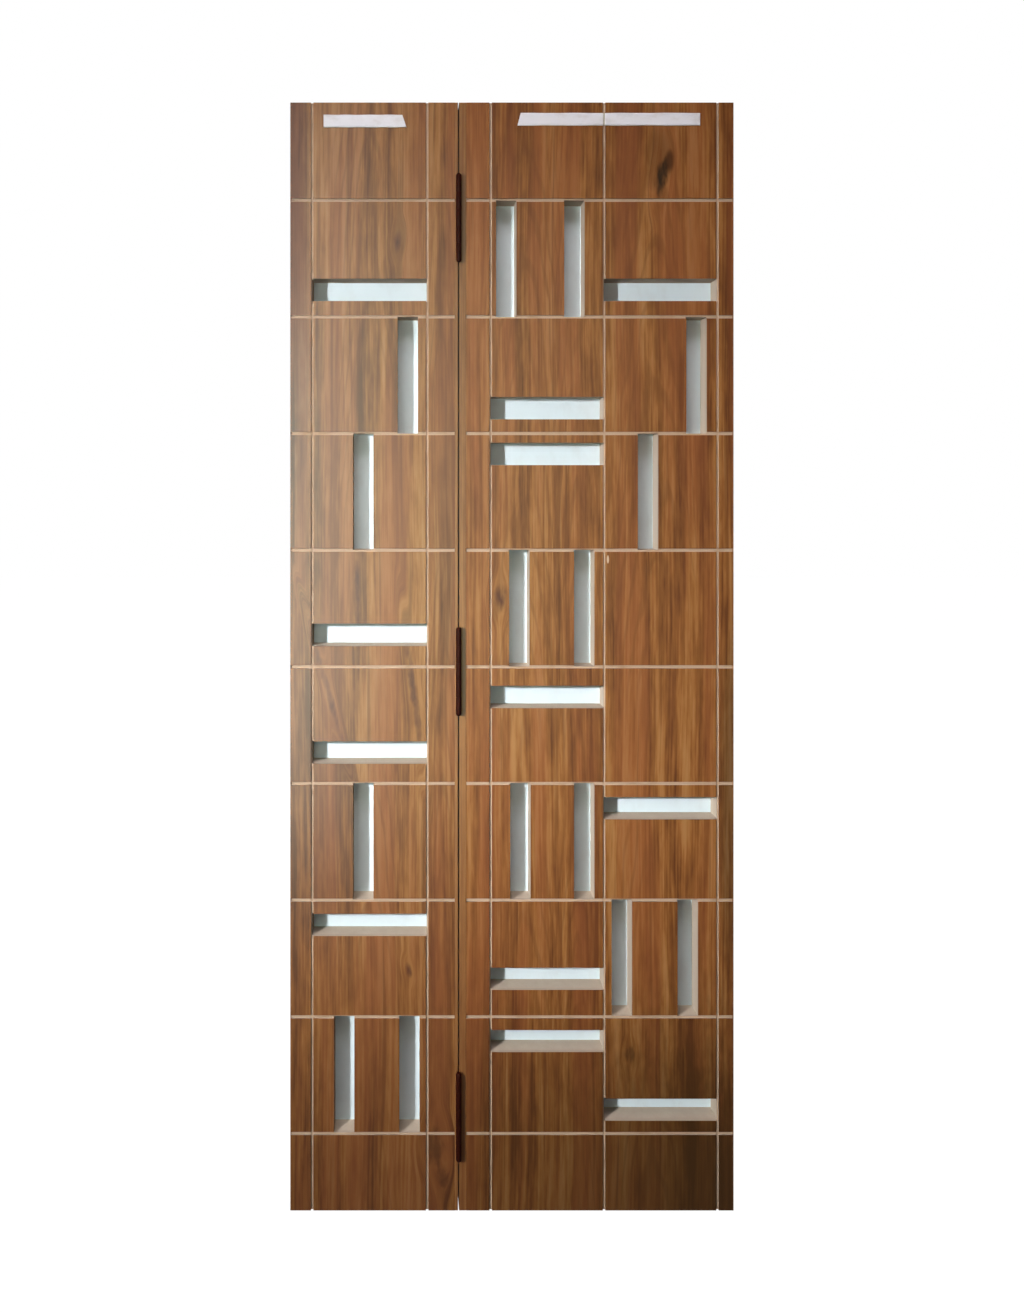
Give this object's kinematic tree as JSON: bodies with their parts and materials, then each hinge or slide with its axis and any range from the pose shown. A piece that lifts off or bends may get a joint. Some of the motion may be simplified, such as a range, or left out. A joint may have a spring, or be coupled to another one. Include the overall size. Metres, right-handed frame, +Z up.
{
  "type": "security door",
  "caption": "Two-leaf folding security door in wood-look laminate, with a routed grid, white-backed slots and butt hinges along the seam.",
  "frame": {"origin": "middle of the door's box at its bottom edge: half way across both leaves and half way between the knuckles' front and the leaves' back", "axes": "+Z up the door, +X from the narrow leaf to the wide leaf, +Y from the front face to the back"},
  "size_m": [0.813, 0.0454, 2.032],
  "materials": {
    "wood_laminate": "satin wood-look laminate",
    "pale_board": "bare cut fibreboard",
    "white_board": "white facing",
    "core_timber": "bare softwood",
    "lipping_timber": "polished hardwood",
    "edge_band": "wood-look band",
    "blank_strip": "matte tape",
    "hinge_bronze": "dark bronze",
    "screw_steel": "dull"
  },
  "bodies": {
    "narrow_leaf": {"lower_hinge_narrow_plate": "hinge_bronze", "lower_hinge_pin": "hinge_bronze", "middle_hinge_narrow_plate": "hinge_bronze", "middle_hinge_pin": "hinge_bronze", "narrow_back_board": "white_board", "narrow_back_laminate": "wood_laminate", "narrow_bottom_rail": "core_timber", "narrow_core_row_1": "core_timber", "narrow_core_row_2": "core_timber", "narrow_core_row_3": "core_timber", "narrow_core_row_4": "core_timber", "narrow_core_row_5": "core_timber", "narrow_core_row_6": "core_timber", "narrow_core_row_7": "core_timber", "narrow_core_row_8": "core_timber", "narrow_edge_band": "edge_band", "narrow_front_board": "pale_board", "narrow_front_laminate": "wood_laminate", "narrow_hinge_screws": "screw_steel", "narrow_jamb_stile": "core_timber", "narrow_seam_lipping": "lipping_timber", "narrow_seam_stile": "core_timber", "narrow_top_rail": "core_timber", "narrow_top_strip": "blank_strip", "upper_hinge_narrow_plate": "hinge_bronze", "upper_hinge_pin": "hinge_bronze"},
    "wide_leaf": {"lower_hinge_wide_plate": "hinge_bronze", "middle_hinge_wide_plate": "hinge_bronze", "upper_hinge_wide_plate": "hinge_bronze", "wide_back_board": "white_board", "wide_back_laminate": "wood_laminate", "wide_bottom_rail": "core_timber", "wide_core_row_1": "core_timber", "wide_core_row_2": "core_timber", "wide_core_row_3": "core_timber", "wide_core_row_4": "core_timber", "wide_core_row_5": "core_timber", "wide_core_row_6": "core_timber", "wide_core_row_7": "core_timber", "wide_core_row_8": "core_timber", "wide_edge_band": "edge_band", "wide_free_stile": "core_timber", "wide_front_board": "pale_board", "wide_front_laminate": "wood_laminate", "wide_hinge_screws": "screw_steel", "wide_lock_block": "core_timber", "wide_seam_lipping": "lipping_timber", "wide_seam_stile": "core_timber", "wide_top_rail": "core_timber", "wide_top_strip": "blank_strip"}
  },
  "joints": [
    {"name": "fold_hinge", "type": "hinge", "parent": "narrow_leaf", "child": "wide_leaf", "pos_m": [-0.098, -0.01775, 0.99], "axis": [0, 0, -1], "range_deg": [0, 180]}
  ]
}
